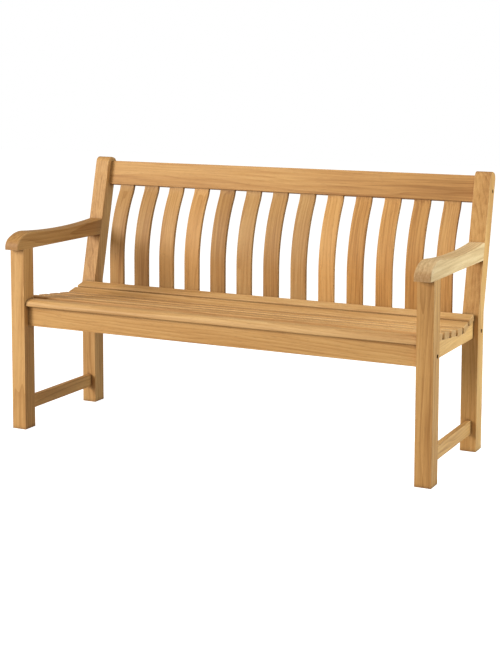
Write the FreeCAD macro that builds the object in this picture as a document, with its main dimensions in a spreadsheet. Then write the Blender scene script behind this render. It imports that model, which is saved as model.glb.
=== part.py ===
"""Garden bench: two glued end frames, joined by three bolted rails, a slatted seat and a slatted back.

Millimetres. +X is the long way, the front faces -Y and +Z is up. The origin is on the ground at the
centre of the whole bench. Left and right are as seen by someone who stands in front of the bench.
Inside the bodies Y starts at the front face of the front legs, and each Placement moves it to the frame.
"""

import FreeCAD, Part
import math
import os
import Sketcher

BACK_SLATS = 13
FRONT_SEAT_SLATS = 4
REAR_SEAT_SLATS = 2
SIDES = {"left": -1, "right": 1}

# Driving dimensions: lengths in mm, angles in degrees.
SIZES = {
    # whole bench
    "overall_length": 1530,
    "seat_depth": 442,            # front face of the front legs to front face of the back legs
    "leg_width": 55,
    "edge_radius": 1.5,
    "glue_gap": 0.1,              # left all round a tenon, a dowel or a housed slat
    "end_gap": 1,                 # left past the end of a tenon, a dowel or a bolt
    # end frames
    "front_leg_depth": 57,
    "back_leg_depth": 58,
    "back_leg_rake_depth": 56,
    "knee_height": 455,
    "knee_radius": 60,
    "rake": 13.2,
    "rake_length": 476,           # knee to the top of the back leg, along the rake
    "leg_top_radius": 22,
    "arm_height": 630,            # underside
    "arm_thickness": 56.5,
    "arm_overhang": 32,
    "arm_lip": 8,                 # upright foot of the nose
    "nose_radius": 34,
    "arm_crest": 84,              # nose to the highest point
    "arm_dip_angle": 5.2,
    "arm_straight": 12,           # end of the dip to the back leg
    "arm_edge_radius": 4,
    "arm_tenon": 25,
    "side_rail_thickness": 21,
    "side_rail_bottom": 378,
    "side_tenon_height": 34,
    "side_tenon_thickness": 11,
    "side_front_tenon": 12,
    "side_rear_tenon": 24,
    "stretcher_thickness": 18,
    "stretcher_height": 45.5,
    "stretcher_bottom": 59,
    "stretcher_tenon": 25,
    "tenon_shoulder": 4,
    # rails
    "front_rail_setback": 24,
    "front_rail_thickness": 28,
    "front_rail_bottom": 362,
    "front_rail_height": 70,
    "rear_rail_setback": 21,      # behind the front face of the back legs
    "rear_rail_thickness": 30,
    "rear_rail_bottom": 362,
    "rear_rail_height": 85,
    "rear_bolt_height": 36,       # above the bottom of the rail
    "top_rail_setback": 22,
    "top_rail_thickness": 32,
    "top_rail_height": 88,
    "top_rail_drop": 14,          # below the top of the back legs
    "top_bolt_height": 39.5,
    # seat
    "seat_slat_width": 46,
    "seat_slat_thickness": 22,
    "seat_slat_overhang": 4,      # past the outer face of the side rails
    "front_slat_width": 50,
    "front_slat_overhang": 17.5,
    "front_slat_nose": 18,
    "front_slat_clearance": 1,    # to each front leg
    "rear_slat_gap": 14,
    "slat_back_clearance": 2.5,   # last seat slat to the back legs
    "front_slope": 5.4,
    "rear_slope": 14.2,
    "seat_crown": 4.6,            # side rail above the front rail
    "valley_radius": 30,
    "valley_land": 5.3,           # bend of the seat to the next slat
    "seat_slat_edge_radius": 3,
    "bearer_thickness": 28,
    "bearer_tenon": 14,
    "bearer_clearance": 1,
    # back
    "back_slat_width": 58.5,
    "back_slat_thickness": 13,
    "back_slat_edge_radius": 2,
    "back_slat_setback": 31.5,    # behind the front face of the back legs, at the bottom
    "back_slat_inset": 4.5,       # behind the front face of the top rail
    "back_slat_housing": 14,
    "back_slat_lean": 31.5,       # steepest lean of the curve
    "back_slat_return": 100,      # radius where the curve turns back up to the top rail
    # fasteners
    "bolt_diameter": 6,
    "bolt_past_nut": 7.5,         # beyond the middle of the barrel nut
    "bolt_head_diameter": 10,
    "bolt_head_height": 6,
    "bolt_socket": 5,
    "bolt_clearance": 1,
    "washer_diameter": 13,
    "washer_thickness": 1.5,
    "counterbore_depth": 12,
    "nut_diameter": 10,
    "nut_length": 20,
    "nut_inset": 38,              # from the end of a rail
    "dowel_diameter": 10,
    "dowel_length": 48,
    "dowel_spread": 22,           # each side of the bolt
    "screw_diameter": 4,
    "screw_grip": 26,
    "screw_bite": 14,
    "screw_head_diameter": 8.5,
    "screw_head_height": 2.5,
    "screw_tip": 5,
    "screw_clearance": 0.4,
    "screw_bore_clearance": 1.5,
    "front_screw_inset": 120,
}

# Places and fits that follow from the driving dimensions. Order matters: each uses those above it.
FITS = {
    "clear_width": "Sizes.overall_length - 2 * Sizes.leg_width",
    "leg_x": "(Sizes.overall_length - Sizes.leg_width) / 2",
    # back leg: a point of the raked part is s along the rake from the knee and n behind its face
    "lean_y": "sin(Sizes.rake)",
    "lean_z": "cos(Sizes.rake)",
    "leg_back_y": "Sizes.seat_depth + (Sizes.rake_length - Sizes.leg_top_radius) * Fit.lean_y"
                  " + (Sizes.back_leg_rake_depth - Sizes.leg_top_radius) * Fit.lean_z"
                  " + Sizes.leg_top_radius",
    "centre_y": "(Fit.leg_back_y - Sizes.arm_overhang) / 2",
    "back_knee": "(Sizes.back_leg_depth - Sizes.back_leg_rake_depth * Fit.lean_z) / Fit.lean_y",
    # arm
    "lip_z": "Sizes.arm_height + Sizes.arm_lip",
    "crest_y": "Sizes.arm_crest - Sizes.arm_overhang",
    "crest_z": "Sizes.arm_height + Sizes.arm_thickness",
    "crest_run": "Sizes.arm_crest - Sizes.nose_radius",
    "crest_rise": "Sizes.arm_thickness - Sizes.arm_lip",
    "crest_radius": "(Fit.crest_run ^ 2 + Fit.crest_rise ^ 2 - Sizes.nose_radius ^ 2)"
                    " / (2 * (Fit.crest_rise - Sizes.nose_radius))",
    "nose_turn": "Sizes.nose_radius / (Fit.crest_radius - Sizes.nose_radius)",
    "dip_front_y": "Fit.crest_y + Fit.crest_radius * sin(Sizes.arm_dip_angle)",
    "dip_z": "Fit.crest_z - Fit.crest_radius * (1 - cos(Sizes.arm_dip_angle))",
    "arm_back_y": "Sizes.seat_depth + (Fit.dip_z - Sizes.knee_height) * tan(Sizes.rake)",
    "arm_root_y": "Sizes.seat_depth + (Sizes.arm_height - Sizes.knee_height) * tan(Sizes.rake)",
    "dip_back_y": "Fit.arm_back_y - Sizes.arm_straight",
    "dip_radius": "(Fit.dip_back_y - Fit.dip_front_y) / (2 * sin(Sizes.arm_dip_angle))",
    "arm_stock_y": "Fit.arm_back_y + Sizes.arm_straight",
    "arm_stock_z": "Fit.dip_z + 2 * Sizes.arm_straight * tan(Sizes.arm_dip_angle)",
    "arm_tenon_z": "Sizes.arm_height + Sizes.arm_thickness / 2",
    "arm_tenon_y": "(Fit.arm_back_y + Fit.arm_root_y) / 2",
    # seat line: down from the front to the valley, then up to the back legs
    "front_rail_top": "Sizes.front_rail_bottom + Sizes.front_rail_height",
    "front_rail_back": "Sizes.front_rail_setback + Sizes.front_rail_thickness",
    "rear_rail_front": "Sizes.seat_depth + Sizes.rear_rail_setback",
    "rear_rail_top": "Sizes.rear_rail_bottom + Sizes.rear_rail_height",
    "rear_run": "cos(Sizes.rear_slope) * (Sizes.valley_land + Sizes.rear_slat_gap"
                " + 2 * Sizes.seat_slat_width)",
    "valley_y": "Sizes.seat_depth - Sizes.slat_back_clearance - Fit.rear_run",
    "side_rail_front_z": "Fit.front_rail_top + Sizes.seat_crown",
    "valley_z": "Fit.side_rail_front_z - (Fit.valley_y - Sizes.front_leg_depth) * tan(Sizes.front_slope)",
    "valley_tangent": "Sizes.valley_radius * tan((Sizes.front_slope + Sizes.rear_slope) / 2)",
    "front_slat_front": "Sizes.front_rail_setback - Sizes.front_slat_overhang",
    "front_slat_back": "Fit.front_slat_front + Sizes.front_slat_width",
    "front_run": "(Fit.valley_y - Fit.front_slat_back) / cos(Sizes.front_slope)",
    "front_gap": "(Fit.front_run + Sizes.valley_land - Sizes.seat_slat_width * {0}) / ({0} + 1)".format(
        FRONT_SEAT_SLATS),
    "side_tenon_z": "Sizes.side_rail_bottom + Sizes.side_tenon_height / 2 + Sizes.tenon_shoulder",
    "seat_slat_length": "2 * (Fit.leg_x + Sizes.side_rail_thickness / 2 + Sizes.seat_slat_overhang)",
    # back slats: upright, then curved back, then turned up again into the top rail
    "slat_gap": "(Fit.clear_width - Sizes.back_slat_width * {0}) / ({0} + 1)".format(BACK_SLATS),
    "slat_pitch": "Fit.slat_gap + Sizes.back_slat_width",
    "slat_y": "Sizes.seat_depth + Sizes.back_slat_setback",
    "top_rail_s": "Sizes.rake_length - Sizes.top_rail_drop - Sizes.top_rail_height",
    "slat_n": "Sizes.top_rail_setback + Sizes.back_slat_inset",
    "slat_top_y": "Sizes.seat_depth + Fit.top_rail_s * Fit.lean_y + Fit.slat_n * Fit.lean_z",
    "slat_top_z": "Sizes.knee_height + Fit.top_rail_s * Fit.lean_z - Fit.slat_n * Fit.lean_y",
    "slat_radius": "(Fit.slat_top_y - Fit.slat_y - Sizes.back_slat_return"
                   " * (Fit.lean_z - cos(Sizes.back_slat_lean))) / (1 - cos(Sizes.back_slat_lean))",
    "slat_bend_z": "Fit.slat_top_z - Fit.slat_radius * sin(Sizes.back_slat_lean)"
                   " - Sizes.back_slat_return * (sin(Sizes.back_slat_lean) - Fit.lean_y)",
    # bolted joints: one bolt at each end of a rail, with a dowel above and below it
    "front_bolt_y": "Sizes.front_rail_setback + Sizes.front_rail_thickness / 2",
    "front_bolt_z": "Sizes.front_rail_bottom + Sizes.front_rail_height / 2",
    "rear_bolt_y": "Fit.rear_rail_front + Sizes.rear_rail_thickness / 2",
    "rear_bolt_z": "Sizes.rear_rail_bottom + Sizes.rear_bolt_height",
    "top_bolt_n": "Sizes.top_rail_setback + Sizes.top_rail_thickness / 2",
    "top_bolt_s": "Fit.top_rail_s + Sizes.top_bolt_height",
    "bolt_hole_radius": "(Sizes.bolt_diameter + Sizes.bolt_clearance) / 2",
    "counterbore_radius": "(Sizes.washer_diameter + Sizes.bolt_clearance) / 2",
    "bolt_seat_x": "Sizes.overall_length / 2 - Sizes.counterbore_depth",
    "bolt_length": "Sizes.leg_width - Sizes.counterbore_depth - Sizes.washer_thickness"
                   " + Sizes.nut_inset + Sizes.bolt_past_nut",
    "bolt_in_rail": "Sizes.nut_inset + Sizes.bolt_past_nut + Sizes.end_gap",
    "dowel_hole_radius": "Sizes.dowel_diameter / 2 + Sizes.glue_gap",
    "dowel_depth": "Sizes.dowel_length / 2 + Sizes.end_gap",
    "nut_hole_radius": "Sizes.nut_diameter / 2 + Sizes.glue_gap",
    "screw_hole_radius": "Sizes.screw_diameter / 2 + Sizes.screw_clearance",
    "screw_bore_radius": "Sizes.screw_head_diameter / 2 + Sizes.screw_bore_clearance",
}

doc = FreeCAD.newDocument("garden_bench")
sheet = doc.addObject("Spreadsheet::Sheet", "Sizes")
fit = doc.addObject("App::VarSet", "Fit")
parts = []


def fill_sheet():
    for row, (name, size) in enumerate(SIZES.items(), start=1):
        sheet.set("A%d" % row, name)
        sheet.set("B%d" % row, str(size))
        sheet.setAlias("B%d" % row, name)
    doc.recompute()
    for name, expression in FITS.items():
        fit.addProperty("App::PropertyFloat", name, "Fits")
        fit.setExpression(name, expression)
        doc.recompute()


def value(expression):
    """The number that an expression has now."""
    result = sheet.evalExpression(expression)
    return float(getattr(result, "Value", result))


def raked(n, s):
    """The y and z of a point n behind the back leg's raked face and s along it from the knee."""
    y = "Sizes.seat_depth + (%s) * Fit.lean_y + (%s) * Fit.lean_z" % (s, n)
    z = "Sizes.knee_height + (%s) * Fit.lean_z - (%s) * Fit.lean_y" % (s, n)
    return y, z


def new_body(label, x="0", y="-Fit.centre_y", z="0", tilt=None, forward=False):
    """A body at an expression-bound place, leaning back by tilt, or forward."""
    body = doc.addObject("PartDesign::Body", label)
    body.Label = label
    if tilt is not None:
        axis = FreeCAD.Vector(1 if forward else -1, 0, 0)
        body.Placement = FreeCAD.Placement(FreeCAD.Vector(), FreeCAD.Rotation(axis, 1))
        body.setExpression("Placement.Rotation.Angle", tilt)
    for name, expression in zip("xyz", (x, y, z)):
        body.setExpression("Placement.Base.%s" % name, expression)
    return body


def new_part(label, **place):
    body = new_body(label, **place)
    parts.append(body)
    return body


def new_sketch(body, plane, centre="0", turn=None, origin=("0", "0")):
    """A sketch on an origin plane, moved along the plane's normal and, if asked, moved and turned in it."""
    role = plane + "_Plane"
    support = next(feature for feature in body.Origin.OriginFeatures if feature.Role == role)
    sketch = body.newObject("Sketcher::SketchObject", body.Label + "_sketch")
    sketch.AttachmentSupport = [(support, "")]
    sketch.MapMode = "FlatFace"
    if turn is not None:
        sketch.AttachmentOffset = FreeCAD.Placement(
            FreeCAD.Vector(), FreeCAD.Rotation(FreeCAD.Vector(0, 0, turn[1]), 1))
        sketch.setExpression("AttachmentOffset.Rotation.Angle", turn[0])
    # The XZ plane's normal points along -Y.
    normal = "-(%s)" % centre if plane == "XZ" else centre
    for name, expression in zip("xyz", (*origin, normal)):
        sketch.setExpression("AttachmentOffset.Base.%s" % name, expression)
    return sketch


def pin_point(sketch, geometry, position, u, v):
    """Ties one point of the sketch to the expressions u and v."""
    for kind, expression in (("DistanceX", u), ("DistanceY", v)):
        place = Sketcher.Constraint(kind, -1, 1, geometry, position, value(expression))
        index = sketch.addConstraint(place)
        sketch.setExpression("Constraints[%d]" % index, expression)


def arc_between(start, end, radius, turn):
    """The shorter arc from start to end; turn is 1 for anticlockwise and -1 for clockwise."""
    chord = end - start
    left = FreeCAD.Vector(-chord.y, chord.x, 0).normalize()
    rise = math.sqrt(radius ** 2 - (chord.Length / 2) ** 2)
    centre = (start + end) * 0.5 + left * (turn * rise)
    first, last = (start, end) if turn > 0 else (end, start)
    angles = [math.atan2(point.y - centre.y, point.x - centre.x) for point in (first, last)]
    circle = Part.Circle(centre, FreeCAD.Vector(0, 0, 1), radius)
    return Part.ArcOfCircle(circle, *angles)


def draw_outline(sketch, corners):
    """A closed outline. A corner is (u, v), or (u, v, radius, turn) where an arc leads to the next one."""
    points = [FreeCAD.Vector(value(corner[0]), value(corner[1]), 0) for corner in corners]
    starts = []
    ends = []
    for index, corner in enumerate(corners):
        start, end = points[index], points[(index + 1) % len(points)]
        if len(corner) == 2:
            geometry = sketch.addGeometry(Part.LineSegment(start, end), False)
            turn = 1
        else:
            turn = corner[3]
            geometry = sketch.addGeometry(arc_between(start, end, value(corner[2]), turn), False)
            radius = sketch.addConstraint(Sketcher.Constraint("Radius", geometry, value(corner[2])))
            sketch.setExpression("Constraints[%d]" % radius, corner[2])
        starts.append((geometry, 1 if turn > 0 else 2))
        ends.append((geometry, 2 if turn > 0 else 1))
    for index, corner in enumerate(corners):
        sketch.addConstraint(Sketcher.Constraint("Coincident", *ends[index - 1], *starts[index]))
        pin_point(sketch, *starts[index], corner[0], corner[1])


def box_outline(u, v, width, height):
    """The corners of a rectangle whose centre is at u, v."""
    low_u, high_u = "(%s) - (%s) / 2" % (u, width), "(%s) + (%s) / 2" % (u, width)
    low_v, high_v = "(%s) - (%s) / 2" % (v, height), "(%s) + (%s) / 2" % (v, height)
    return [(low_u, low_v), (high_u, low_v), (high_u, high_v), (low_u, high_v)]


def draw_circles(sketch, centres, radius):
    for u, v in centres:
        circle = Part.Circle(FreeCAD.Vector(value(u), value(v), 0), FreeCAD.Vector(0, 0, 1), value(radius))
        geometry = sketch.addGeometry(circle, False)
        size = sketch.addConstraint(Sketcher.Constraint("Radius", geometry, value(radius)))
        sketch.setExpression("Constraints[%d]" % size, radius)
        pin_point(sketch, geometry, 3, u, v)


def add_feature(body, kind, sketch, length):
    """A Pad or a Pocket, half its length each side of the sketch. It has to change the volume."""
    doc.recompute()
    before = body.Shape.Volume if body.Tip else 0
    feature = body.newObject("PartDesign::" + kind, body.Label + "_" + kind.lower())
    feature.Profile = sketch
    feature.SideType = "Symmetric"
    feature.setExpression("Length", length)
    check_change(body, before)
    return feature


def check_change(body, before):
    doc.recompute()
    if abs(body.Shape.Volume - before) < 1:
        raise RuntimeError("%s did not change %s" % (body.Tip.Label, body.Label))


def pad(body, plane, corners, length, centre="0"):
    sketch = new_sketch(body, plane, centre)
    draw_outline(sketch, corners)
    add_feature(body, "Pad", sketch, length)


def pocket(body, plane, corners, length, centre="0"):
    sketch = new_sketch(body, plane, centre)
    draw_outline(sketch, corners)
    add_feature(body, "Pocket", sketch, length)


def drill(body, plane, centres, radius, length, centre="0"):
    """Round holes along the plane's normal, half of length each side of centre."""
    sketch = new_sketch(body, plane, centre)
    draw_circles(sketch, centres, radius)
    add_feature(body, "Pocket", sketch, length)


def ease(body, radius, wanted):
    """Rounds the edges of the last feature for which wanted(low, high), their box, is true."""
    doc.recompute()
    before = body.Shape.Volume
    base = body.Tip
    names = []
    for index, edge in enumerate(base.Shape.Edges, start=1):
        box = edge.BoundBox
        low = FreeCAD.Vector(box.XMin, box.YMin, box.ZMin)
        high = FreeCAD.Vector(box.XMax, box.YMax, box.ZMax)
        if wanted(low, high):
            names.append("Edge%d" % index)
    fillet = body.newObject("PartDesign::Fillet", body.Label + "_fillet")
    fillet.Base = (base, names)
    fillet.setExpression("Radius", radius)
    check_change(body, before)


def is_near(one, other):
    return abs(one - other) < 0.01


def runs_along_x(low, high):
    return high.x - low.x > 1


def lies_on_side(low, high):
    """True for an edge in one of the two faces square to X, away from the origin's YZ plane."""
    return is_near(low.x, high.x) and not is_near(low.x, 0)


def tenon(body, y, z, length, height, thickness):
    """A tenon along Y. It reaches length each side of y, so that half of it is rooted in the piece."""
    pad(body, "YZ", box_outline(y, z, "2 * (%s)" % length, height), thickness)


def mortise(body, y, z, length, height, thickness):
    """The slot for a tenon, with the glue gap round it and the end gap past it."""
    size = ("2 * (%s + Sizes.end_gap)" % length, "%s + 2 * Sizes.glue_gap" % height)
    pocket(body, "YZ", box_outline(y, z, *size), "%s + 2 * Sizes.glue_gap" % thickness)


def bolted_joints():
    """The centre of each rail's bolt, and its two dowels, in the y and z of the legs."""
    joints = {
        "front": ("Fit.front_bolt_y", "Fit.front_bolt_z", "0", "1"),
        "rear": ("Fit.rear_bolt_y", "Fit.rear_bolt_z", "0", "1"),
        "top": (*raked("Fit.top_bolt_n", "Fit.top_bolt_s"), "Fit.lean_y", "Fit.lean_z"),
    }
    places = {}
    for name, (y, z, along_y, along_z) in joints.items():
        dowels = [("%s %s Sizes.dowel_spread * %s" % (y, sign, along_y),
                   "%s %s Sizes.dowel_spread * %s" % (z, sign, along_z)) for sign in "-+"]
        places[name] = ((y, z), dowels)
    return places


def drill_leg_for_rail(leg, side, rail):
    """A counterbored bolt hole right through the leg, and two dowel holes from its inner face."""
    bolt, dowels = bolted_joints()[rail]
    sign = "-" if side < 0 else ""
    counterbore = "%s(Sizes.leg_width - Sizes.counterbore_depth) / 2" % sign
    inner = "%s(Fit.dowel_depth - Sizes.leg_width) / 2" % sign
    drill(leg, "YZ", [bolt], "Fit.bolt_hole_radius", "Sizes.leg_width")
    drill(leg, "YZ", [bolt], "Fit.counterbore_radius", "Sizes.counterbore_depth", counterbore)
    drill(leg, "YZ", dowels, "Fit.dowel_hole_radius", "Fit.dowel_depth", inner)


def leg_place(side):
    return "-Fit.leg_x" if side < 0 else "Fit.leg_x"


def make_front_leg(name, side):
    leg = new_part("front_leg_" + name, x=leg_place(side))
    middle = "Sizes.front_leg_depth / 2"
    outline = box_outline(middle, "Sizes.arm_height / 2", "Sizes.front_leg_depth", "Sizes.arm_height")
    pad(leg, "YZ", outline, "Sizes.leg_width")
    top = value("Sizes.arm_height")
    ease(leg, "Sizes.edge_radius",
         lambda low, high: lies_on_side(low, high) and not is_near(low.z, top))
    pad(leg, "YZ", box_outline(middle, "Sizes.arm_height", "Sizes.arm_tenon", "2 * Sizes.arm_tenon"),
        "Sizes.arm_tenon")
    mortise(leg, "Sizes.front_leg_depth", "Fit.side_tenon_z", "Sizes.side_front_tenon",
            "Sizes.side_tenon_height", "Sizes.side_tenon_thickness")
    stretcher_joint(mortise, leg, "Sizes.front_leg_depth")
    drill_leg_for_rail(leg, side, "front")


def make_back_leg(name, side):
    leg = new_part("back_leg_" + name, x=leg_place(side))
    depth = "Sizes.back_leg_rake_depth"
    radius = "Sizes.leg_top_radius"
    corner = "Sizes.rake_length - Sizes.leg_top_radius"
    back = "Sizes.seat_depth + Sizes.back_leg_depth"
    outline = [
        ("Sizes.seat_depth", "0"),
        (back, "0"),
        (back, raked(depth, "Fit.back_knee")[1]),
        (*raked(depth, corner), radius, 1),
        raked(depth + " - " + radius, "Sizes.rake_length"),
        (*raked(radius, "Sizes.rake_length"), radius, 1),
        raked("0", corner),
        raked("0", "0"),
    ]
    pad(leg, "YZ", outline, "Sizes.leg_width")
    for knee in (value("Sizes.knee_height"), value(outline[2][1])):
        ease(leg, "Sizes.knee_radius",
             lambda low, high: runs_along_x(low, high) and is_near(low.z, knee) and is_near(high.z, knee))
    ease(leg, "Sizes.edge_radius", lies_on_side)
    mortise(leg, "Sizes.seat_depth", "Fit.side_tenon_z", "Sizes.side_rear_tenon",
            "Sizes.side_tenon_height", "Sizes.side_tenon_thickness")
    stretcher_joint(mortise, leg, "Sizes.seat_depth")
    mortise(leg, "Fit.arm_tenon_y", "Fit.arm_tenon_z", "Sizes.arm_tenon", "Sizes.arm_tenon",
            "Sizes.arm_tenon")
    drill_leg_for_rail(leg, side, "rear")
    drill_leg_for_rail(leg, side, "top")


def make_arm(name, side):
    arm = new_part("arm_" + name, x=leg_place(side))
    nose = "Sizes.arm_overhang"
    nose_run = "sqrt(1 - ((Fit.crest_rise - Fit.crest_radius) / (Fit.crest_radius - Sizes.nose_radius)) ^ 2)"
    nose_lift = "(Fit.crest_radius - Fit.crest_rise) / (Fit.crest_radius - Sizes.nose_radius)"
    outline = [
        ("-" + nose, "Sizes.arm_height"),
        ("Fit.arm_stock_y", "Sizes.arm_height"),
        ("Fit.arm_stock_y", "Fit.arm_stock_z"),
        ("Fit.dip_back_y", "Fit.dip_z", "Fit.dip_radius", -1),
        ("Fit.dip_front_y", "Fit.dip_z", "Fit.crest_radius", 1),
        ("Sizes.nose_radius * (1 - %s) - %s" % (nose_run, nose),
         "Fit.lip_z + Sizes.nose_radius * " + nose_lift, "Sizes.nose_radius", 1),
        ("-" + nose, "Fit.lip_z"),
    ]
    pad(arm, "YZ", outline, "Sizes.leg_width")
    stock_end = value("Fit.arm_stock_y")
    ease(arm, "Sizes.arm_edge_radius",
         lambda low, high: lies_on_side(low, high) and not is_near(low.y, stock_end)
         and not is_near(low.z, high.z))
    depth, length = "Sizes.back_leg_rake_depth", "Sizes.rake_length"
    behind_leg_face = [raked("0", "0"), raked(depth, "0"), raked(depth, length), raked("0", length)]
    pocket(arm, "YZ", behind_leg_face, "Sizes.leg_width")
    tenon(arm, "Fit.arm_tenon_y", "Fit.arm_tenon_z", "Sizes.arm_tenon", "Sizes.arm_tenon", "Sizes.arm_tenon")
    width = "Sizes.arm_tenon + 2 * Sizes.glue_gap"
    socket = box_outline("Sizes.front_leg_depth / 2", "Sizes.arm_height", width,
                         "2 * (Sizes.arm_tenon + Sizes.end_gap)")
    pocket(arm, "YZ", socket, width)


def seat_point(distance, slope, direction):
    """A point of the seat line, at a distance from the valley; direction is -1 forward and 1 back."""
    sign = "-" if direction < 0 else "+"
    y = "Fit.valley_y %s (%s) * cos(%s)" % (sign, distance, slope)
    z = "Fit.valley_z + (%s) * sin(%s)" % (distance, slope)
    return y, z


def seat_line(front_y, back_y):
    """The top of a side rail or bearer, from back to front."""
    return [
        (back_y, "Fit.valley_z + ((%s) - Fit.valley_y) * tan(Sizes.rear_slope)" % back_y),
        (*seat_point("Fit.valley_tangent", "Sizes.rear_slope", 1), "Sizes.valley_radius", -1),
        seat_point("Fit.valley_tangent", "Sizes.front_slope", -1),
        (front_y, "Fit.valley_z + (Fit.valley_y - (%s)) * tan(Sizes.front_slope)" % front_y),
    ]


def seat_slat_places():
    """For each seat slat behind the front one: its point on the seat line, its slope and its direction."""
    width = "Sizes.seat_slat_width"
    places = []
    for number in reversed(range(FRONT_SEAT_SLATS)):
        distance = "Fit.front_gap - Sizes.valley_land + {0} / 2 + {1} * ({0} + Fit.front_gap)".format(
            width, number)
        places.append((seat_point(distance, "Sizes.front_slope", -1), "Sizes.front_slope", -1))
    for number in range(REAR_SEAT_SLATS):
        distance = "Sizes.valley_land + {0} / 2 + {1} * ({0} + Sizes.rear_slat_gap)".format(width, number)
        places.append((seat_point(distance, "Sizes.rear_slope", 1), "Sizes.rear_slope", 1))
    return places


def bore_for_slat_screws(body):
    """Stepped holes square to the seat line: the screw's hole, and below its head a wider bore."""
    for (y, z), slope, direction in seat_slat_places():
        sketch = new_sketch(body, "YZ", turn=(slope, direction), origin=(y, z))
        draw_outline(sketch, [
            ("0", "0"),
            ("0", "-Sizes.side_rail_bottom"),
            ("Fit.screw_bore_radius", "-Sizes.side_rail_bottom"),
            ("Fit.screw_bore_radius", "-Sizes.screw_grip"),
            ("Fit.screw_hole_radius", "-Sizes.screw_grip"),
            ("Fit.screw_hole_radius", "0"),
        ])
        doc.recompute()
        before = body.Shape.Volume
        groove = body.newObject("PartDesign::Groove", body.Label + "_groove")
        groove.Profile = sketch
        groove.ReferenceAxis = (sketch, ["V_Axis"])
        groove.Angle = 360
        check_change(body, before)


def make_side_rail(name, side):
    rail = new_part("side_rail_" + name, x=leg_place(side))
    outline = [("Sizes.front_leg_depth", "Sizes.side_rail_bottom"),
               ("Sizes.seat_depth", "Sizes.side_rail_bottom")]
    outline += seat_line("Sizes.front_leg_depth", "Sizes.seat_depth")
    pad(rail, "YZ", outline, "Sizes.side_rail_thickness")
    bottom = value("Sizes.side_rail_bottom")
    ease(rail, "Sizes.edge_radius",
         lambda low, high: lies_on_side(low, high) and is_near(high.z, bottom))
    size = ("Sizes.side_tenon_height", "Sizes.side_tenon_thickness")
    tenon(rail, "Sizes.front_leg_depth", "Fit.side_tenon_z", "Sizes.side_front_tenon", *size)
    tenon(rail, "Sizes.seat_depth", "Fit.side_tenon_z", "Sizes.side_rear_tenon", *size)
    bore_for_slat_screws(rail)


def stretcher_joint(cut_or_add, body, y):
    """The stretcher's tenon, or the mortise for it, at the face of a leg."""
    cut_or_add(body, y, "Sizes.stretcher_bottom + Sizes.stretcher_height / 2", "Sizes.stretcher_tenon",
               "Sizes.stretcher_height - 2 * Sizes.tenon_shoulder",
               "Sizes.stretcher_thickness - 2 * Sizes.tenon_shoulder")


def make_stretcher(name, side):
    stretcher = new_part("stretcher_" + name, x=leg_place(side))
    length = "Sizes.seat_depth - Sizes.front_leg_depth"
    middle = "(Sizes.seat_depth + Sizes.front_leg_depth) / 2"
    height = "Sizes.stretcher_bottom + Sizes.stretcher_height / 2"
    pad(stretcher, "YZ", box_outline(middle, height, length, "Sizes.stretcher_height"),
        "Sizes.stretcher_thickness")
    ease(stretcher, "Sizes.edge_radius",
         lambda low, high: lies_on_side(low, high) and is_near(low.z, high.z))
    stretcher_joint(tenon, stretcher, "Sizes.front_leg_depth")
    stretcher_joint(tenon, stretcher, "Sizes.seat_depth")


def drill_rail_ends(rail, bolt, dowels):
    """At both ends: the bolt's hole and the two dowel holes, along the rail."""
    for sign in ("", "-"):
        drill(rail, "YZ", [bolt], "Fit.bolt_hole_radius", "Fit.bolt_in_rail",
              "%s(Fit.clear_width - Fit.bolt_in_rail) / 2" % sign)
        drill(rail, "YZ", dowels, "Fit.dowel_hole_radius", "Fit.dowel_depth",
              "%s(Fit.clear_width - Fit.dowel_depth) / 2" % sign)


def drill_for_nuts(rail, bolt, hidden_face, direction):
    """The barrel nuts' holes, from the rail's hidden face to just past each nut."""
    y, z = bolt
    nut_x = "Fit.clear_width / 2 - Sizes.nut_inset"
    depth = "(%s - (%s)) * %d + Sizes.nut_length / 2 + Sizes.end_gap" % (hidden_face, y, direction)
    centre = "%s - (%s) / 2 * %d" % (hidden_face, depth, direction)
    drill(rail, "XZ", [(nut_x, z), ("-(%s)" % nut_x, z)], "Fit.nut_hole_radius", depth, centre)


def bearer_joint(rail, face):
    """The housing for the bearer's stub tenon, in the inner face of the front or the rear rail."""
    mortise(rail, face, "Fit.side_tenon_z", "Sizes.bearer_tenon", "Sizes.side_tenon_height",
            "Sizes.side_tenon_thickness")


def front_screw_places():
    """Where the front slat's four screws pass up through the front rail."""
    outer = "(Fit.clear_width / 2 - Sizes.front_screw_inset)"
    middle = "Fit.front_bolt_y"
    return [("%s * %s" % (outer, share), middle) for share in ("-1", "-1 / 3", "1 / 3", "1")]


def make_front_rail():
    rail = new_part("front_rail")
    pad(rail, "YZ", box_outline("Fit.front_bolt_y", "Fit.front_bolt_z", "Sizes.front_rail_thickness",
                                "Sizes.front_rail_height"), "Fit.clear_width")
    ease(rail, "Sizes.edge_radius", runs_along_x)
    bolt, dowels = bolted_joints()["front"]
    drill_rail_ends(rail, bolt, dowels)
    drill_for_nuts(rail, bolt, "Fit.front_rail_back", 1)
    bearer_joint(rail, "Fit.front_rail_back")
    bore_length = "Sizes.front_rail_height - Sizes.screw_grip"
    drill(rail, "XY", front_screw_places(), "Fit.screw_hole_radius", "Sizes.front_rail_height",
          "Fit.front_bolt_z")
    drill(rail, "XY", front_screw_places(), "Fit.screw_bore_radius", bore_length,
          "Sizes.front_rail_bottom + (%s) / 2" % bore_length)


def slat_centre_x(number):
    return "Fit.slat_pitch * (%d)" % (number - (BACK_SLATS - 1) // 2)


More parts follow.
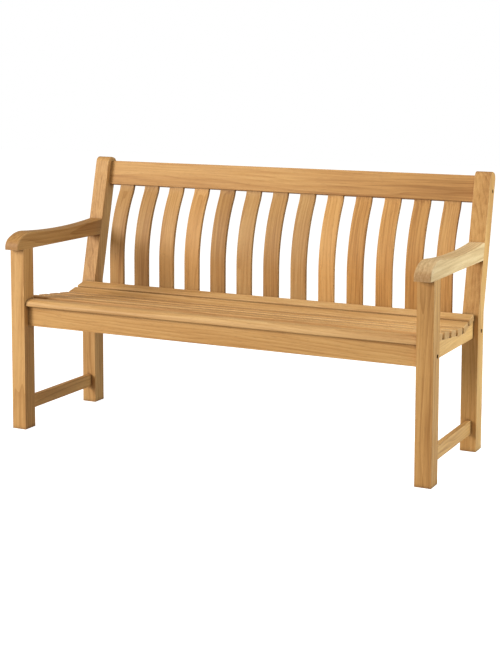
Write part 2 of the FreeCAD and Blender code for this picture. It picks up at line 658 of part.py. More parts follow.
def house_back_slats(rail, y, z):
    """The slots for the ends of the back slats; y and z are at the mouth, and half the box cuts air."""
    width = "Sizes.back_slat_width + 2 * Sizes.glue_gap"
    thickness = "Sizes.back_slat_thickness + 2 * Sizes.glue_gap"
    depth = "2 * (Sizes.back_slat_housing + Sizes.end_gap)"
    for number in range(BACK_SLATS):
        pocket(rail, "YZ", box_outline(y, z, thickness, depth), width, slat_centre_x(number))


def make_rear_rail():
    rail = new_part("rear_rail")
    middle = "Sizes.rear_rail_bottom + Sizes.rear_rail_height / 2"
    pad(rail, "YZ", box_outline("Fit.rear_bolt_y", middle, "Sizes.rear_rail_thickness",
                                "Sizes.rear_rail_height"), "Fit.clear_width")
    ease(rail, "Sizes.edge_radius", runs_along_x)
    bolt, dowels = bolted_joints()["rear"]
    drill_rail_ends(rail, bolt, dowels)
    drill_for_nuts(rail, bolt, "Fit.rear_rail_front", -1)
    bearer_joint(rail, "Fit.rear_rail_front")
    house_back_slats(rail, "Fit.slat_y + Sizes.back_slat_thickness / 2", "Fit.rear_rail_top")


def make_top_rail():
    """Its own frame starts at the knee of the back legs and leans back with them."""
    rail = new_part("top_rail", y="Sizes.seat_depth - Fit.centre_y", z="Sizes.knee_height", tilt="Sizes.rake")
    bolt = ("Fit.top_bolt_n", "Fit.top_bolt_s")
    dowels = [("Fit.top_bolt_n", "Fit.top_bolt_s %s Sizes.dowel_spread" % sign) for sign in "-+"]
    middle = "Fit.top_rail_s + Sizes.top_rail_height / 2"
    pad(rail, "YZ", box_outline("Fit.top_bolt_n", middle, "Sizes.top_rail_thickness",
                                "Sizes.top_rail_height"), "Fit.clear_width")
    ease(rail, "Sizes.edge_radius", runs_along_x)
    drill_rail_ends(rail, bolt, dowels)
    drill_for_nuts(rail, bolt, "Sizes.top_rail_setback + Sizes.top_rail_thickness", 1)
    house_back_slats(rail, "Fit.slat_n + Sizes.back_slat_thickness / 2", "Fit.top_rail_s")


def make_bearer():
    """The middle bearer, between the front and the rear rail, notched below the front slat."""
    bearer = new_part("seat_bearer")
    notch = "Fit.front_slat_back + Sizes.bearer_clearance"
    outline = [("Fit.front_rail_back", "Sizes.side_rail_bottom"),
               ("Fit.rear_rail_front", "Sizes.side_rail_bottom")]
    outline += seat_line(notch, "Fit.rear_rail_front")
    outline += [(notch, "Fit.front_rail_top"), ("Fit.front_rail_back", "Fit.front_rail_top")]
    pad(bearer, "YZ", outline, "Sizes.bearer_thickness")
    size = ("Sizes.side_tenon_height", "Sizes.side_tenon_thickness")
    for face in ("Fit.front_rail_back", "Fit.rear_rail_front"):
        tenon(bearer, face, "Fit.side_tenon_z", "Sizes.bearer_tenon", *size)
    bore_for_slat_screws(bearer)


def pilot_holes(slat, centres):
    """The screws' holes, up from the underside at z 0 of the slat's own frame."""
    depth = "Sizes.screw_bite + Sizes.end_gap"
    drill(slat, "XY", centres, "Sizes.screw_diameter / 2", "2 * (%s)" % depth)


def make_front_slat():
    slat = new_part("seat_slat_1", y="Fit.front_slat_front - Fit.centre_y", z="Fit.front_rail_top")
    width, thickness = "Sizes.front_slat_width", "Sizes.seat_slat_thickness"
    pad(slat, "YZ", box_outline(width + " / 2", thickness + " / 2", width, thickness),
        "Fit.clear_width - 2 * Sizes.front_slat_clearance")
    top = value(thickness)
    ease(slat, "Sizes.front_slat_nose",
         lambda low, high: runs_along_x(low, high) and is_near(low.y, 0) and is_near(low.z, top))
    ease(slat, "Sizes.seat_slat_edge_radius",
         lambda low, high: runs_along_x(low, high) and (is_near(high.z, 0) or is_near(low.y, value(width))))
    centres = [(x, "%s - Fit.front_slat_front" % y) for x, y in front_screw_places()]
    pilot_holes(slat, centres)


def make_seat_slats():
    make_front_slat()
    for number, ((y, z), slope, direction) in enumerate(seat_slat_places(), start=2):
        slat = new_part("seat_slat_%d" % number, y="%s - Fit.centre_y" % y, z=z, tilt=slope,
                        forward=direction > 0)
        pad(slat, "YZ", box_outline("0", "Sizes.seat_slat_thickness / 2", "Sizes.seat_slat_width",
                                    "Sizes.seat_slat_thickness"), "Fit.seat_slat_length")
        ease(slat, "Sizes.seat_slat_edge_radius", lambda low, high: True)
        pilot_holes(slat, [("-Fit.leg_x", "0"), ("0", "0"), ("Fit.leg_x", "0")])


def make_back_slat(number):
    slat = new_part("back_slat_%02d" % (number + 1), x=slat_centre_x(number))
    thickness = "Sizes.back_slat_thickness"
    radius, back_radius = "Fit.slat_radius", "Sizes.back_slat_return"
    lean = "Sizes.back_slat_lean"
    bottom = "Fit.rear_rail_top - Sizes.back_slat_housing"
    top = "Fit.top_rail_s + Sizes.back_slat_housing"
    turn_y = "Fit.slat_y + %s * (1 - cos(%s))" % (radius, lean)
    turn_z = "Fit.slat_bend_z + %s * sin(%s)" % (radius, lean)
    back_n = "Fit.slat_n + " + thickness
    outline = [
        ("Fit.slat_y", bottom),
        ("Fit.slat_y + " + thickness, bottom),
        ("Fit.slat_y + " + thickness, "Fit.slat_bend_z", "%s - %s" % (radius, thickness), -1),
        ("%s + %s * cos(%s)" % (turn_y, thickness, lean), "%s - %s * sin(%s)" % (turn_z, thickness, lean),
         "%s + %s" % (back_radius, thickness), 1),
        raked(back_n, "Fit.top_rail_s"),
        raked(back_n, top),
        raked("Fit.slat_n", top),
        (*raked("Fit.slat_n", "Fit.top_rail_s"), back_radius, -1),
        (turn_y, turn_z, radius, 1),
        ("Fit.slat_y", "Fit.slat_bend_z"),
    ]
    pad(slat, "YZ", outline, "Sizes.back_slat_width")
    ends = [value(bottom), value(raked(back_n, top)[1]), value(raked("Fit.slat_n", top)[1])]
    ease(slat, "Sizes.back_slat_edge_radius",
         lambda low, high: lies_on_side(low, high)
         and not (is_near(high.z, ends[0]) or is_near(low.z, ends[1]) and is_near(high.z, ends[2])))


def placed_group(label, master, places):
    """Copies of one fastener as separate solids in one node. A place is (x, y, z, axis, angle)."""
    copies = []
    for x, y, z, axis, angle in places:
        copy = doc.addObject("App::Link", label + "_copy")
        copy.LinkedObject = master
        copy.Placement = FreeCAD.Placement(FreeCAD.Vector(), FreeCAD.Rotation(FreeCAD.Vector(*axis), 1))
        copy.setExpression("Placement.Rotation.Angle", angle)
        for name, expression in zip("xyz", (x, y, z)):
            copy.setExpression("Placement.Base.%s" % name, expression)
        copies.append(copy)
    group = doc.addObject("Part::Compound", label)
    group.Label = label
    group.Links = copies
    parts.append(group)


def bolt_axes():
    """The y, z and side of each of the six bolts."""
    for (y, z), _ in bolted_joints().values():
        for side in SIDES.values():
            yield y, z, side


def master_body(label):
    """A fastener in its own frame, to be copied into a group."""
    return new_body(label, y="0")


def make_bolts():
    """Socket-head bolts along X. The head's underside is at x 0 and the shank points to -X."""
    bolt = master_body("bolt_master")
    head_centre = "Sizes.bolt_head_height / 2"
    drill_centre = "Sizes.bolt_head_height - Sizes.bolt_socket / 4"
    for radius, length, centre in (
            ("Sizes.bolt_head_diameter / 2", "Sizes.bolt_head_height", head_centre),
            ("Sizes.bolt_diameter / 2", "Fit.bolt_length", "-Fit.bolt_length / 2")):
        sketch = new_sketch(bolt, "YZ", centre)
        draw_circles(sketch, [("0", "0")], radius)
        add_feature(bolt, "Pad", sketch, length)
    half = "Sizes.bolt_socket / 2"
    side = "Sizes.bolt_socket / sqrt(3)"
    hexagon = [(side, "0"), (side + " / 2", half), ("-%s / 2" % side, half),
               ("-" + side, "0"), ("-%s / 2" % side, "-" + half), (side + " / 2", "-" + half)]
    pocket(bolt, "YZ", hexagon, "Sizes.bolt_socket", drill_centre)
    places = []
    for y, z, side in bolt_axes():
        reach = "Fit.bolt_seat_x + Sizes.washer_thickness"
        x = reach if side > 0 else "-(%s)" % reach
        places.append((x, "%s - Fit.centre_y" % y, z, (0, 0, 1), "0" if side > 0 else "180"))
    placed_group("frame_bolts", bolt, places)


def make_washers():
    """Washers along X, with the inner face at x 0."""
    washer = master_body("washer_master")
    centre = "Sizes.washer_thickness / 2"
    sketch = new_sketch(washer, "YZ", centre)
    draw_circles(sketch, [("0", "0")], "Sizes.washer_diameter / 2")
    draw_circles(sketch, [("0", "0")], "Fit.bolt_hole_radius")
    add_feature(washer, "Pad", sketch, "Sizes.washer_thickness")
    places = []
    for y, z, side in bolt_axes():
        x = "Fit.bolt_seat_x" if side > 0 else "-Fit.bolt_seat_x"
        places.append((x, "%s - Fit.centre_y" % y, z, (0, 0, 1), "0" if side > 0 else "180"))
    placed_group("bolt_washers", washer, places)


def make_nuts():
    """Barrel nuts along Y, with the bolt's hole along X. Those of the top rail lean with it."""
    nut = master_body("nut_master")
    sketch = new_sketch(nut, "XZ")
    draw_circles(sketch, [("0", "0")], "Sizes.nut_diameter / 2")
    add_feature(nut, "Pad", sketch, "Sizes.nut_length")
    drill(nut, "YZ", [("0", "0")], "Sizes.bolt_diameter / 2 + Sizes.glue_gap", "2 * Sizes.nut_diameter")
    places = []
    for name, ((y, z), _) in bolted_joints().items():
        for side in SIDES.values():
            reach = "(Fit.clear_width / 2 - Sizes.nut_inset)"
            x = reach if side > 0 else "-" + reach
            angle = "Sizes.rake" if name == "top" else "0"
            places.append((x, "%s - Fit.centre_y" % y, z, (-1, 0, 0), angle))
    placed_group("barrel_nuts", nut, places)


def make_dowels():
    """Dowels along X, half in the leg and half in the rail."""
    dowel = master_body("dowel_master")
    sketch = new_sketch(dowel, "YZ")
    draw_circles(sketch, [("0", "0")], "Sizes.dowel_diameter / 2")
    add_feature(dowel, "Pad", sketch, "Sizes.dowel_length")
    places = []
    for _, centres in bolted_joints().values():
        for y, z in centres:
            for side in SIDES.values():
                x = "Fit.clear_width / 2" if side > 0 else "-Fit.clear_width / 2"
                places.append((x, "%s - Fit.centre_y" % y, z, (0, 0, 1), "0"))
    placed_group("rail_dowels", dowel, places)


def make_screws():
    """Screws up into the seat slats. The slat's underside is at z 0, and the head is below."""
    screw = master_body("screw_master")
    sketch = new_sketch(screw, "XZ")
    radius, head = "Sizes.screw_diameter / 2", "Sizes.screw_head_diameter / 2"
    base = "-Sizes.screw_grip - Sizes.screw_head_height"
    draw_outline(sketch, [
        ("0", base),
        (head, base),
        (head, "-Sizes.screw_grip"),
        (radius, "-Sizes.screw_grip"),
        (radius, "Sizes.screw_bite - Sizes.screw_tip"),
        ("0", "Sizes.screw_bite"),
    ])
    doc.recompute()
    turned = screw.newObject("PartDesign::Revolution", "screw_turned")
    turned.Profile = sketch
    turned.ReferenceAxis = (sketch, ["V_Axis"])
    turned.Angle = 360
    doc.recompute()
    places = []
    for (y, z), slope, direction in seat_slat_places():
        for x in ("-Fit.leg_x", "0", "Fit.leg_x"):
            places.append((x, "%s - Fit.centre_y" % y, z, (direction, 0, 0), slope))
    for x, y in front_screw_places():
        places.append((x, "%s - Fit.centre_y" % y, "Fit.front_rail_top", (1, 0, 0), "0"))
    placed_group("seat_screws", screw, places)


def check_document():
    for item in doc.Objects:
        if "Invalid" in item.State or "Error" in item.State:
            raise RuntimeError("%s is %s" % (item.Label, item.State))
    for part in parts:
        if part.Shape.isNull() or not part.Shape.isValid():
            raise RuntimeError("%s has no valid shape" % part.Label)


def export_parts():
    os.makedirs("parts", exist_ok=True)
    for part in parts:
        part.Shape.exportStep("parts/%s.step" % part.Label)


fill_sheet()
for name, side in SIDES.items():
    make_front_leg(name, side)
    make_back_leg(name, side)
    make_arm(name, side)
    make_side_rail(name, side)
    make_stretcher(name, side)
make_front_rail()
make_rear_rail()
make_top_rail()
make_bearer()
make_seat_slats()
for number in range(BACK_SLATS):
    make_back_slat(number)
make_bolts()
make_washers()
make_nuts()
make_dowels()
make_screws()
doc.recompute()
check_document()
export_parts()
print("wrote %d nodes" % len(parts))
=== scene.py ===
"""Looks of the garden bench: procedural hardwood on every board, steel painted near-black on the fasteners as
painted shade in their recesses, a pale floor, soft studio light and a camera to the right of the bench's
front.

Metres, in the CAD frame: +X along the bench, the front faces -Y, +Z up.
"""

import math
import random

import bpy
from mathutils import Euler, Matrix, Vector


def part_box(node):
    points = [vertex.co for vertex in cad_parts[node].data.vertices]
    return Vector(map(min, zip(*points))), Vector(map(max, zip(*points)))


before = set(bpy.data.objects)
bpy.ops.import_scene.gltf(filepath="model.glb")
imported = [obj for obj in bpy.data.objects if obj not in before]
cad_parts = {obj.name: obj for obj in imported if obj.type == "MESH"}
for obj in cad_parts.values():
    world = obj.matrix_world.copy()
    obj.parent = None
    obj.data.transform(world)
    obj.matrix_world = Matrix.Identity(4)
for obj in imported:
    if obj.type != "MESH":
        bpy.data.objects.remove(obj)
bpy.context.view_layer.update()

IMAGE_HEIGHT = 646            # pixels, the long side
SEED = 11

# camera
CAMERA_PLACE = Vector((2.081, -4.141, 1.274))
CAMERA_YAW = math.radians(26.53)
CAMERA_PITCH = math.radians(5.85)
CAMERA_ROLL = math.radians(0.18)
FOCAL_PIXELS = 1385
SENSOR = 36                   # mm, along the long side
SHIFT_PIXELS = 120            # how far the horizon is lifted by the lens

# surroundings
AMBIENT = 0.29                # even light from all round; the camera sees it as white
FLOOR_GLOW = 0.86             # seen by the camera only, so that the floor looks white like the walls
FLOOR_HALF = 12.0
FLOOR_COLOUR = (0.65, 0.65, 0.64)

# wood, as linear colours
PALE = (0.72, 0.42, 0.155)
MIDDLE = (0.590, 0.308, 0.098)
DARK = (0.40, 0.182, 0.046)
PORE = (0.24, 0.11, 0.035)
END_GRAIN = (0.36, 0.17, 0.055)
BLEACHED = (0.78, 0.50, 0.25)
# dark colour of the painted shade in the joints and gaps
PAINTED_SHADE = (0.11, 0.05, 0.018)
TINTS = {
    # how much redder or browner (warmth) and lighter (lift) a board is, and how far boards of a kind differ;
    # the entries for the arms, the right back leg and the top rail also paint light and shade
    "leg": (0.03, -0.04, 0.05),
    "rail": (0.02, 0.00, 0.05),
    "seat_slat": (-0.15, 0.04, 0.07),
    "back_slat": (0.12, -0.13, 0.14),
    # the left arm darker and warmer: painted shade, as that end gets less light
    "arm_left": (0.10, -0.22, 0.02),
    # the right arm much paler and cooler: painted sheen from the light at the right end
    "arm_right": (-0.75, 0.02, 0.02),
    # the right back leg darker and warmer: painted shade from the seat and front rail above it
    "back_leg_right": (0.15, -0.10, 0.02),
    # the top rail darker and warmer: painted shade, to offset the key light it catches as it leans back
    "top_rail": (0.14, -0.12, 0.02),
}

# the scale of each pattern in the wood, across the fibres and along them
WANDER_SCALE = (12, 1.3)
DRIFT_SCALE = (9, 1.1)
STREAK_SCALE = (140, 3.2)
FIBRE_SCALE = (420, 9)
PORE_SCALE = (900, 38)

# how far each pattern moves the tone, which runs from dark at 0 to pale at 1
AVERAGE_TONE = 0.60
DRIFT_CONTRAST = 0.30
STREAK_CONTRAST = 0.26
FIBRE_CONTRAST = 0.10
LATE_WOOD_CONTRAST = 0.36

PORE_STRENGTH = 0.35
END_GRAIN_STRENGTH = 0.60
# how dark the painted shade gets in the most sheltered spots
PAINTED_SHADE_STRENGTH = 0.90
PAINTED_SHADE_REACH = 0.02            # how near another surface has to be to shelter a spot and darken it with painted shade
EDGE_WIDTH = 0.003
EDGE_POLISH = 0.06            # how much smoother an edge is
WOOD_RELIEF = 0.0006

# growth rings
RINGS_PER_METRE = (70, 115)
PITH_DISTANCE = (0.045, 0.10)
RING_WANDER = 0.06
SLANT_DEGREES = (0.5, 1.6)    # between a board and its fibres

# steel painted near-black, as painted shade in the fastener recesses; its dull patches darker still
STEEL_AS_PAINTED_SHADE = (0.11, 0.107, 0.10)
DULL = (0.05, 0.048, 0.045)
STEEL_RELIEF = 0.0002
STEEL_NODES = ("frame_bolts", "bolt_washers", "barrel_nuts", "seat_screws")

# the bend of the back slats, which their fibres follow
BEND_START = 0.544            # above the ground
BEND_RADIUS = 0.459

FIBRES = {"X": (1, 0, 0), "Y": (0, 1, 0), "Z": (0, 0, 1)}


def grain_axis(name):
    """The direction of the wood's fibres in a board."""
    if name.startswith(("front_leg", "back_leg", "back_slat")):
        return "Z"
    if name.startswith(("arm", "side_rail", "stretcher")) or name == "seat_bearer":
        return "Y"
    return "X"


def tint_of(name):
    """A board's own tint, or else the one of its kind."""
    if name in TINTS:
        return TINTS[name]
    for kind in ("back_slat", "seat_slat", "leg"):
        if kind in name:
            return TINTS[kind]
    return TINTS["rail"]


class Graph:
    """A material's node tree, with short calls to add and wire nodes."""

    def __init__(self, name):
        self.material = bpy.data.materials.new(name)
        self.material.use_nodes = True
        self.tree = self.material.node_tree
        self.tree.nodes.clear()
        self.shader = self.add("ShaderNodeBsdfPrincipled")
        output = self.add("ShaderNodeOutputMaterial")
        self.tree.links.new(self.shader.outputs["BSDF"], output.inputs["Surface"])

    def add(self, kind, inputs=None, **settings):
        node = self.tree.nodes.new(kind)
        for name, setting in settings.items():
            setattr(node, name, setting)
        for name, source in (inputs or {}).items():
            self.set(node.inputs[name], source)
        return node

    def set(self, socket, source):
        """Wires a socket to another one, or gives it a fixed value."""
        if isinstance(source, bpy.types.NodeSocket):
            self.tree.links.new(source, socket)
        else:
            socket.default_value = source

    def finish_with(self, **sources):
        """Sets the shader's own sockets, whose names have spaces in place of underscores."""
        for name, source in sources.items():
            self.set(self.shader.inputs[name.replace("_", " ")], source)
        return self.material

    def math(self, operation, first, second=0.0, clamp=False):
        node = self.add("ShaderNodeMath", {0: first, 1: second}, operation=operation, use_clamp=clamp)
        return node.outputs[0]

    def dot(self, first, second):
        node = self.add("ShaderNodeVectorMath", {0: first, 1: second}, operation="DOT_PRODUCT")
        return node.outputs["Value"]

    def spread(self, source, low, high, to_low=0.0, to_high=1.0):
        node = self.add("ShaderNodeMapRange", {"Value": source, "From Min": low, "From Max": high,
                                               "To Min": to_low, "To Max": to_high})
        return node.outputs["Result"]

    def mix(self, factor, first, second):
        """One colour over another; a Mix node's two colours are its sockets 6 and 7."""
        node = self.add("ShaderNodeMix", data_type="RGBA", blend_type="MIX")
        self.set(node.inputs["Factor"], factor)
        self.set(node.inputs[6], first)
        self.set(node.inputs[7], second)
        return node.outputs[2]

    def stretched(self, vector, across, along):
        """Coordinates with the fibres along Z, scaled across and along them."""
        node = self.add("ShaderNodeMapping", {"Vector": vector, "Scale": (across, across, along)})
        return node.outputs["Vector"]

    def noise(self, vector, scale=1.0, detail=2.0, roughness=0.5):
        node = self.add("ShaderNodeTexNoise", {"Vector": vector, "Scale": scale, "Detail": detail,
                                               "Roughness": roughness})
        return node.outputs["Fac"]

    def bump(self, height, strength, distance):
        node = self.add("ShaderNodeBump", {"Height": height, "Strength": strength, "Distance": distance})
        return node.outputs["Normal"]


def rgba(colour):
    return (*colour, 1.0)


def tinted(colour, warmth, lift):
    """A wood colour made warmer (less blue and green) and lighter."""
    red, green, blue = colour
    light = 1 + lift
    return (red * light, green * light * (1 - 0.3 * warmth), blue * light * (1 - warmth))


def straightened(graph, at):
    """Undoes the bow of a back slat, so that its grain runs along the bend."""
    split = graph.add("ShaderNodeSeparateXYZ", {"Vector": at})
    above = graph.math("MAXIMUM", graph.math("SUBTRACT", split.outputs["Z"], BEND_START), 0.0)
    square = graph.math("SUBTRACT", BEND_RADIUS ** 2, graph.math("MULTIPLY", above, above))
    sweep = graph.math("SUBTRACT", BEND_RADIUS, graph.math("SQRT", square))
    upright = graph.math("SUBTRACT", split.outputs["Y"], sweep)
    joined = graph.add("ShaderNodeCombineXYZ", {
        "X": split.outputs["X"], "Y": upright, "Z": split.outputs["Z"]})
    return joined.outputs["Vector"]


def board_coordinates(graph, name, axis, draw):
    """Coordinates from the middle of a board, with the fibres along Z and nearly in line with the board."""
    at = graph.add("ShaderNodeTexCoord").outputs["Object"]
    if name.startswith("back_slat"):
        at = straightened(graph, at)
    low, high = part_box(name)
    centred = graph.add("ShaderNodeMapping", {"Vector": at, "Location": tuple(-(low + high) / 2)})
    slant = [math.radians(draw.uniform(*SLANT_DEGREES)) * draw.choice((-1, 1)) for _ in range(2)]
    if axis == "X":
        turn = (slant[0], math.radians(90) + slant[1], 0)
    elif axis == "Y":
        turn = (math.radians(90) + slant[0], slant[1], 0)
    else:
        turn = (slant[0], slant[1], 0)
    turned = graph.add("ShaderNodeMapping", {"Vector": centred.outputs["Vector"], "Rotation": turn})
    return turned.outputs["Vector"]


def cut_from_log(graph, at, draw):
    """Moves each board's patterns to another place in the log, so that no two boards match."""
    place = (draw.uniform(-3, 3), draw.uniform(-3, 3), draw.uniform(-9, 9))
    return graph.add("ShaderNodeMapping", {"Vector": at, "Location": place}).outputs["Vector"]


def growth_rings(graph, at, draw):
    """Rings round a pith that lies beside the board: 0 in the early wood, rising to 1 in the late wood."""
    wander = graph.noise(graph.stretched(at, *WANDER_SCALE), detail=2)
    bend = graph.math("MULTIPLY", graph.math("SUBTRACT", wander, 0.5), RING_WANDER)
    away = draw.uniform(*PITH_DISTANCE)
    angle = draw.uniform(0, 2 * math.pi)
    split = graph.add("ShaderNodeSeparateXYZ", {"Vector": at})
    across = graph.math("ADD", split.outputs["X"], away * math.cos(angle))
    through = graph.math("ADD", split.outputs["Y"], away * math.sin(angle))
    radius = graph.math("SQRT", graph.math("ADD", graph.math("MULTIPLY", across, across),
                                           graph.math("MULTIPLY", through, through)))
    rings = graph.math("MULTIPLY", graph.math("ADD", radius, bend), draw.uniform(*RINGS_PER_METRE))
    return graph.math("POWER", graph.math("FRACT", rings), 2.5)


def wood_tone(graph, drift, streak, fibre, late_wood):
    """How pale the wood is: broad drift, streaks and fibres, and darker late wood."""
    tone = graph.math("ADD", graph.spread(drift, 0.3, 0.7, -DRIFT_CONTRAST, DRIFT_CONTRAST),
                      graph.spread(streak, 0.3, 0.7, -STREAK_CONTRAST, STREAK_CONTRAST))
    tone = graph.math("ADD", tone, graph.spread(fibre, 0.25, 0.75, -FIBRE_CONTRAST, FIBRE_CONTRAST))
    tone = graph.math("ADD", tone, graph.math("MULTIPLY", late_wood, -LATE_WOOD_CONTRAST))
    return graph.math("ADD", tone, AVERAGE_TONE, clamp=True)


def wood_colour(graph, tone, warmth, lift):
    """From dark to pale wood by the tone."""
    ramp = graph.add("ShaderNodeValToRGB", {"Fac": tone})
    stops = ramp.color_ramp.elements
    stops[0].color = rgba(tinted(DARK, warmth, lift))
    stops[1].color = rgba(tinted(PALE, warmth, lift))
    middle = stops.new(0.5)
    middle.color = rgba(tinted(MIDDLE, warmth, lift))
    return ramp.outputs["Color"]


def end_grain(graph, normal, axis):
    """1 where a board is cut across its fibres, which soaks up more oil, and 0 along its sides."""
    facing = graph.math("ABSOLUTE", graph.dot(normal, FIBRES[axis]))
    return graph.math("POWER", facing, 4.0)


def board_edge(graph, normal):
    """1 on the edges of a board, which handling has polished and bleached."""
    bevel = graph.add("ShaderNodeBevel", {"Radius": EDGE_WIDTH}, samples=4)
    return graph.spread(graph.dot(normal, bevel.outputs["Normal"]), 0.995, 0.90)


def painted_shade_amount(graph):
    """How much painted shade darkens a spot: the more nearby surfaces shelter it, the darker, in the joints
    and the gaps.
    """
    open_air = graph.add("ShaderNodeAmbientOcclusion", {"Distance": PAINTED_SHADE_REACH}, samples=6)
    return graph.spread(open_air.outputs["AO"], 0.80, 0.30, 0.0, PAINTED_SHADE_STRENGTH)


def wood_relief(graph, fibre, pores, late_wood):
    """Fibres stand up, and pores and late wood lie lower."""
    relief = graph.math("SUBTRACT", graph.math("MULTIPLY", fibre, 0.5), graph.math("MULTIPLY", pores, 0.6))
    relief = graph.math("SUBTRACT", relief, graph.math("MULTIPLY", late_wood, 0.25))
    return graph.bump(relief, 0.25, WOOD_RELIEF)


def wood(name, axis, warmth, lift, draw):
    """Oiled hardwood: growth rings, broad colour drift, fine fibres, pores, end grain and worn edges, with
    painted shade in the joints and gaps.
    """
    graph = Graph("wood_" + name)
    at = board_coordinates(graph, name, axis, draw)
    grain = cut_from_log(graph, at, draw)
    drift = graph.noise(graph.stretched(grain, *DRIFT_SCALE), detail=2)
    fibre = graph.noise(graph.stretched(grain, *FIBRE_SCALE), detail=3, roughness=0.6)
    streak = graph.noise(graph.stretched(grain, *STREAK_SCALE), detail=3, roughness=0.55)
    pore = graph.noise(graph.stretched(grain, *PORE_SCALE), detail=1)
    pores = graph.spread(pore, 0.30, 0.38, 1.0, 0.0)
    late_wood = growth_rings(graph, at, draw)
    normal = graph.add("ShaderNodeNewGeometry").outputs["Normal"]
    edge = board_edge(graph, normal)
    worn = graph.math("MULTIPLY", edge, graph.spread(streak, 0.35, 0.65, 0.05, 0.35))
    cross_cut = graph.math("MULTIPLY", end_grain(graph, normal, axis), END_GRAIN_STRENGTH)

    colour = wood_colour(graph, wood_tone(graph, drift, streak, fibre, late_wood), warmth, lift)
    colour = graph.mix(graph.math("MULTIPLY", pores, PORE_STRENGTH), colour, rgba(PORE))
    colour = graph.mix(cross_cut, colour, rgba(END_GRAIN))
    colour = graph.mix(worn, colour, rgba(BLEACHED))
    # painted shade: darker where other surfaces are near, in the joints and the gaps
    colour = graph.mix(painted_shade_amount(graph), colour, rgba(PAINTED_SHADE))

    rough = graph.spread(fibre, 0.2, 0.8, 0.46, 0.62)
    rough = graph.math("SUBTRACT", rough, graph.math("MULTIPLY", edge, EDGE_POLISH))
    return graph.finish_with(Base_Color=colour, Roughness=rough, Specular_IOR_Level=0.30,
                             Normal=wood_relief(graph, fibre, pores, late_wood))


def steel(name):
    """Steel painted near-black, as painted shade in the fastener recesses, with fine turning marks and a few
    duller, darker patches.
    """
    graph = Graph(name)
    at = graph.add("ShaderNodeTexCoord").outputs["Object"]
    marks = graph.noise(graph.stretched(at, 700, 2500), detail=2)
    dull = graph.noise(at, scale=160, detail=3)
    colour = graph.mix(graph.spread(dull, 0.4, 0.7), rgba(STEEL_AS_PAINTED_SHADE), rgba(DULL))
    rough = graph.spread(dull, 0.3, 0.7, 0.28, 0.50)
    return graph.finish_with(Base_Color=colour, Metallic=1.0, Roughness=rough,
                             Normal=graph.bump(marks, 0.15, STEEL_RELIEF))


def paint_object(piece, material):
    for slot in piece.material_slots:
        slot.material = material


def paint_bench():
    """Steel on the fasteners, and on each board wood of its own."""
    draw = random.Random(SEED)
    # the fasteners get steel painted near-black, as painted shade in their recesses
    metal = steel("painted_shade_steel")
    for name, piece in sorted(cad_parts.items()):
        if name in STEEL_NODES:
            paint_object(piece, metal)
            continue
        warmth, lift, differ = tint_of(name)
        warmth += draw.uniform(-1, 1) * differ
        lift += draw.uniform(-1, 1) * differ
        paint_object(piece, wood(name, grain_axis(name), warmth, lift, draw))


def seen_by_camera(tree, elsewhere, seen):
    """A number that is seen for the camera's own rays and elsewhere for the light that falls on the bench."""
    switch = tree.nodes.new("ShaderNodeMapRange")
    switch.inputs["To Min"].default_value = elsewhere
    switch.inputs["To Max"].default_value = seen
    tree.links.new(tree.nodes.new("ShaderNodeLightPath").outputs["Is Camera Ray"], switch.inputs["Value"])
    return switch.outputs["Result"]


def floor_material():
    """Matt pale grey, which looks white to the camera."""
    material = bpy.data.materials.new("floor")
    material.use_nodes = True
    tree = material.node_tree
    shader = tree.nodes["Principled BSDF"]
    shader.inputs["Base Color"].default_value = rgba(FLOOR_COLOUR)
    shader.inputs["Roughness"].default_value = 0.9
    shader.inputs["Specular IOR Level"].default_value = 0.1
    shader.inputs["Emission Color"].default_value = (1, 1, 1, 1)
    tree.links.new(seen_by_camera(tree, 0.0, FLOOR_GLOW), shader.inputs["Emission Strength"])
    return material


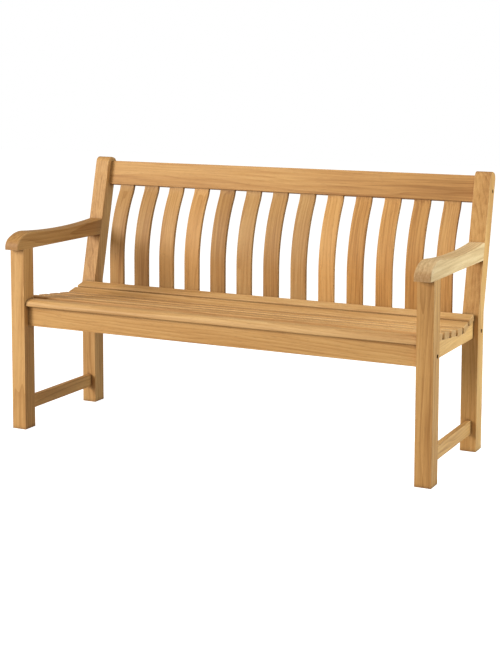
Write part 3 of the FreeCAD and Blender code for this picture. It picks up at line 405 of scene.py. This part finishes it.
def make_floor():
    corners = [(x * FLOOR_HALF, y * FLOOR_HALF, 0) for x, y in ((-1, -1), (1, -1), (1, 1), (-1, 1))]
    mesh = bpy.data.meshes.new("floor")
    mesh.from_pydata(corners, [], [(0, 1, 2, 3)])
    mesh.materials.append(floor_material())
    floor = bpy.data.objects.new("floor", mesh)
    bpy.context.scene.collection.objects.link(floor)


def make_world():
    """White to the camera and a dimmer even light on the bench."""
    world = bpy.data.worlds.new("studio")
    bpy.context.scene.world = world
    world.use_nodes = True
    tree = world.node_tree
    background = tree.nodes["Background"]
    background.inputs["Color"].default_value = (1, 1, 1, 1)
    tree.links.new(seen_by_camera(tree, AMBIENT, 1.0), background.inputs["Strength"])


def area_light(name, place, target, size, power, colour):
    """A round soft light of a size in metres and a power in watts, which the camera doesn't see."""
    light = bpy.data.lights.new(name, "AREA")
    light.shape = "DISK"
    light.size = size
    light.energy = power
    light.color = colour
    lamp = bpy.data.objects.new(name, light)
    lamp.visible_camera = False
    lamp.location = place
    lamp.rotation_euler = (Vector(target) - Vector(place)).to_track_quat("-Z", "Y").to_euler()
    bpy.context.scene.collection.objects.link(lamp)


def make_lights():
    """A warm key from the front left, a weak light overhead and a cool one at the right end."""
    area_light("key", place=(-4.9, -5.7, 2.9), target=(-0.1, 0, 0.4), size=3.4, power=480,
               colour=(1.0, 0.98, 0.94))
    area_light("overhead", place=(0.2, -0.5, 3.2), target=(0, 0, 0.4), size=2.2, power=32,
               colour=(0.95, 0.98, 1.0))
    area_light("side", place=(2.1, 0.45, 1.0), target=(0.75, 0, 0.45), size=1.0, power=30,
               colour=(0.76, 0.92, 1.0))


def make_camera():
    data = bpy.data.cameras.new("camera")
    data.sensor_width = SENSOR
    data.lens = FOCAL_PIXELS * SENSOR / IMAGE_HEIGHT
    data.shift_y = -SHIFT_PIXELS / IMAGE_HEIGHT
    camera = bpy.data.objects.new("camera", data)
    turn = Euler((math.radians(90) - CAMERA_PITCH, 0, CAMERA_YAW)).to_matrix()
    turn = turn @ Matrix.Rotation(CAMERA_ROLL, 3, "Z")
    camera.matrix_world = Matrix.Translation(CAMERA_PLACE) @ turn.to_4x4()
    bpy.context.scene.collection.objects.link(camera)
    bpy.context.scene.camera = camera


bpy.context.scene.view_settings.view_transform = "Standard"
make_camera()
make_world()
make_lights()
make_floor()
paint_bench()
